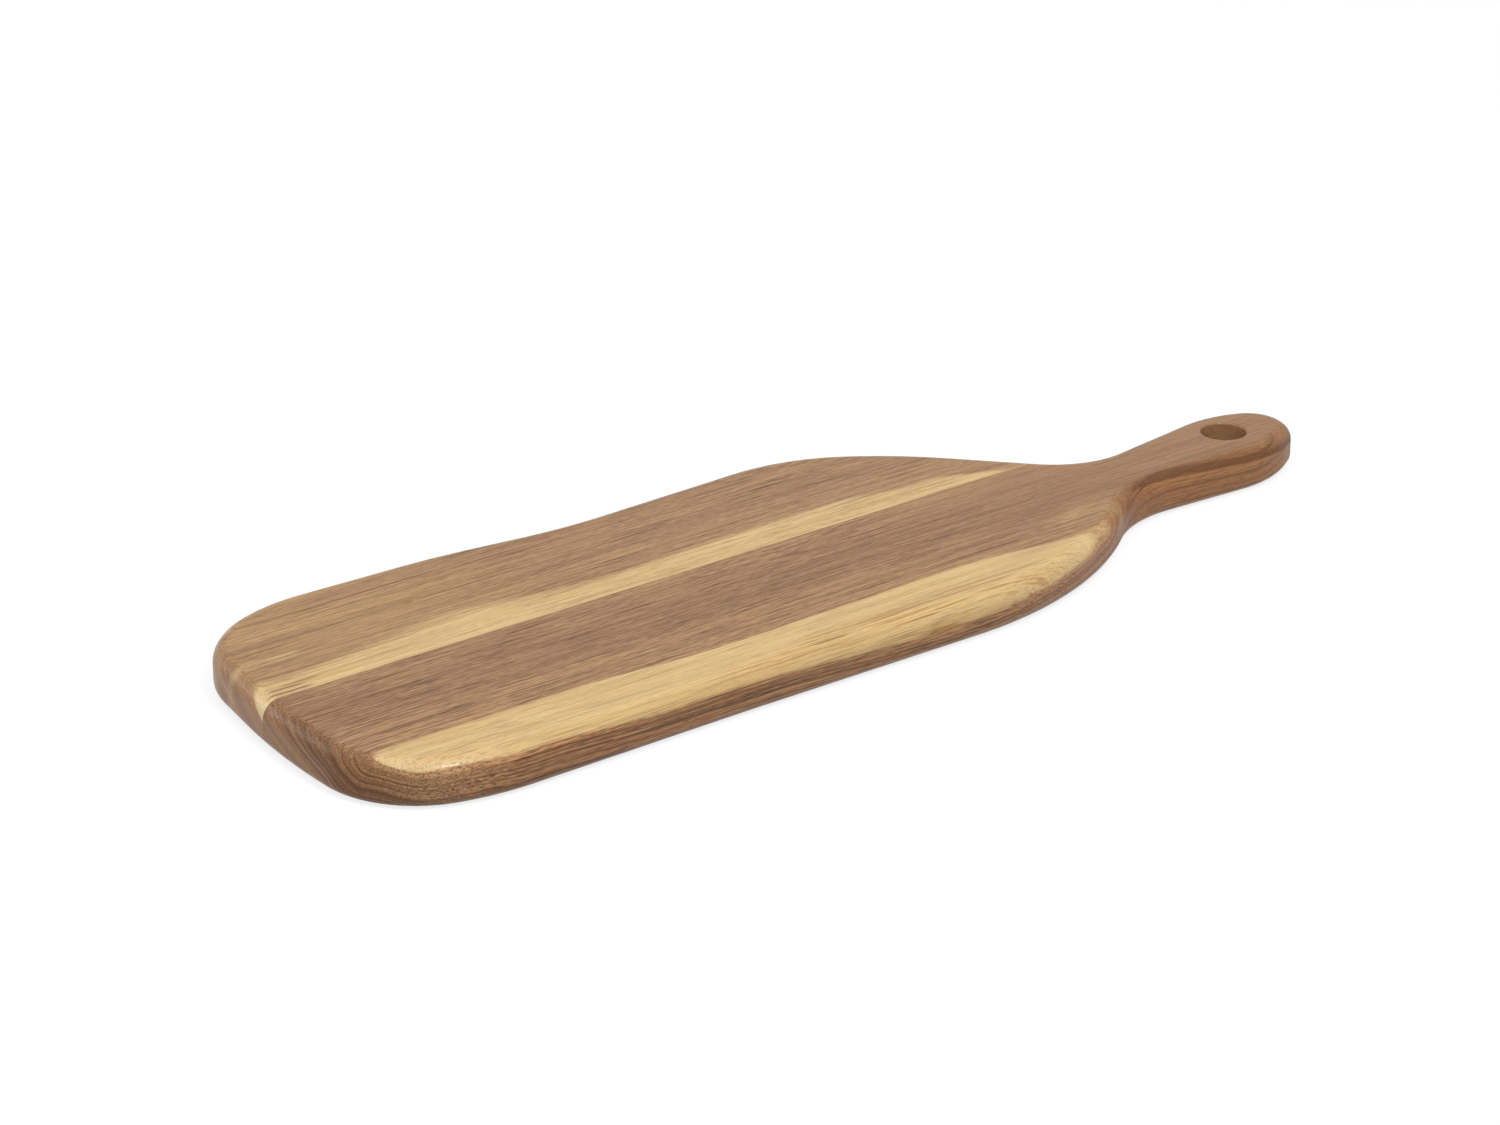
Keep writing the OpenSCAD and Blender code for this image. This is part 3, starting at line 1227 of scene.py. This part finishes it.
    def facing(self, mesh: bpy.types.Mesh) -> list[float]:
        """Tells how each corner faces along X, Y and Z.

        Args:
            mesh: A piece's mesh.

        Returns:
            Three shares from 0 to 1 for each corner. The drilled wall counts as a flat face.
        """
        reach = self.hole_radius + self.hole_edge.top_round * MM + MERGE_GAP
        shares: list[float] = []
        for loop, normal in zip(mesh.loops, mesh.corner_normals):
            drilled = (mesh.vertices[loop.vertex_index].co.xy - self.hole_centre).length < reach
            shares += self.flat_face if drilled else [abs(part) for part in normal.vector]
        return shares

    def build(self) -> list[bpy.types.Object]:
        """Builds, dresses and places every piece.

        Returns:
            The pieces.
        """
        front, rear, glue = FRONT_WOOD.material(), REAR_WOOD.material(), GlueFinish().material()
        skin = self.shell(front)
        glue_cuts = [(self.glue_front, Side.REAR), (self.glue_rear, Side.FRONT)]
        made: list[bpy.types.Object] = []
        for name, cuts, finish, node, slot in (
            ("stave_front", [(self.glue_front, Side.FRONT)], front, "front_stave", "front_wood"),
            ("stave_rear", [(self.glue_rear, Side.REAR)], rear, "rear_stave", "rear_wood"),
            ("glue_film", glue_cuts, glue, "glue_line", "glue"),
        ):
            thing = self.piece(name, skin, cuts)
            thing.data.materials.append(finish)
            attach(thing, "root")
            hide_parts(node)
            LOG.info("%s: %d faces, stands for %s", name, len(thing.data.polygons), node)
            made.append(thing)
        skin.free()
        return made


# The studio


@dataclass(frozen=True)
class Softbox:
    """A square area lamp. Lengths are in metres."""

    name: str
    place: Point
    aim: Point
    size: float
    power: float

    def build(self) -> None:
        """Hangs the lamp."""
        data = bpy.data.lights.new(self.name, "AREA")
        data.shape = "SQUARE"
        data.size = self.size
        data.energy = self.power
        lamp = new_object(self.name, data)
        lamp.location = self.place
        lamp.rotation_euler = (Vector(self.aim) - lamp.location).to_track_quat("-Z", "Y").to_euler()


@dataclass(frozen=True)
class Studio:
    """A white table, soft light and the camera. Lengths are in metres and angles in degrees."""

    floor_half: float = 6.0
    floor_drop: float = 0.0002
    floor_white: float = 0.98
    floor_bounce: float = 0.5
    floor_glow: float = 0.8
    sky: float = 0.58
    camera_place: Point = (-1.0887, -1.3368, 0.7492)
    camera_pitch: float = 23.2
    camera_yaw: float = 38.523
    sensor: float = 36.0
    lens: float = 108.0
    lamps: tuple[Softbox, ...] = (
        Softbox("overhead_softbox", (-0.5, -0.4, 2.2), (0.0, 0.0, 0.0), 1.8, 23.5),
        Softbox("front_softbox", (-0.08, -1.08, 1.75), (-0.2, -0.08, 0.0), 0.2, 17.0),
        Softbox("rear_softbox", (-1.14, 1.81, 0.9), (-0.26, 0.0, 0.0), 0.9, 8.0),
    )

    def floor_material(self) -> bpy.types.Material:
        """Builds the table's white.

        Seen by the camera or in a reflection, part of the white is the table's own glow, so that the
        board's shadow stays light. Light that bounces off the table comes from a duller white.

        Returns:
            The finished material.
        """
        tree = ShaderTree("white_table")
        rays = tree.add("ShaderNodeLightPath").link.node.outputs
        seen = Socket(tree, rays["Is Camera Ray"])
        for name in ("Is Glossy Ray", "Is Transmission Ray"):
            seen = tree.math("MAXIMUM", seen, Socket(tree, rays[name]))
        level = self.floor_bounce + seen * (self.floor_white - self.floor_bounce)
        shade = tree.add("ShaderNodeBsdfDiffuse", None, {"Color": tree.mix(level, BLACK, WHITE)})
        glow = tree.add("ShaderNodeEmission", None, {"Color": (*WHITE, 1.0), "Strength": 1.0})
        both = {0: seen * self.floor_glow, 1: shade, 2: glow}
        return tree.surface(tree.add("ShaderNodeMixShader", None, both))

    def build_floor(self) -> None:
        """Lays the table top, just under the board."""
        half, drop = self.floor_half, -self.floor_drop
        mesh = bpy.data.meshes.new("table_top")
        corners = [(-half, -half, drop), (half, -half, drop), (half, half, drop), (-half, half, drop)]
        mesh.from_pydata(corners, [], [(0, 1, 2, 3)])
        mesh.materials.append(self.floor_material())
        floor = new_object("table_top", mesh)

    def build_light(self) -> None:
        """Hangs the lamps and sets the soft light from all round."""
        for lamp in self.lamps:
            lamp.build()
        world = bpy.data.worlds.new("studio_air")
        world.use_nodes = True
        air = world.node_tree.nodes["Background"].inputs
        air["Color"].default_value = (*WHITE, 1.0)
        air["Strength"].default_value = self.sky
        bpy.context.scene.world = world

    def build_camera(self) -> None:
        """Puts the camera where the photograph was taken from."""
        data = bpy.data.cameras.new("camera")
        data.sensor_fit = "HORIZONTAL"
        data.sensor_width = self.sensor
        data.lens = self.lens
        camera = new_object("camera", data)
        camera.location = self.camera_place
        tilt = QUARTER_TURN - math.radians(self.camera_pitch)
        camera.rotation_euler = (tilt, 0.0, math.radians(-self.camera_yaw))
        bpy.context.scene.camera = camera

    def build(self) -> None:
        """Builds the whole studio."""
        bpy.context.scene.view_settings.view_transform = "Standard"
        self.build_floor()
        self.build_light()
        self.build_camera()


def main() -> None:
    """Builds the board and the studio."""
    logging.basicConfig(level=logging.INFO, format="%(message)s")
    Studio().build()
    pieces = PaddleBoard(SweepTree()).build()
    LOG.info("%d pieces in all", len(pieces))


if __name__ == "__main__":
    main()
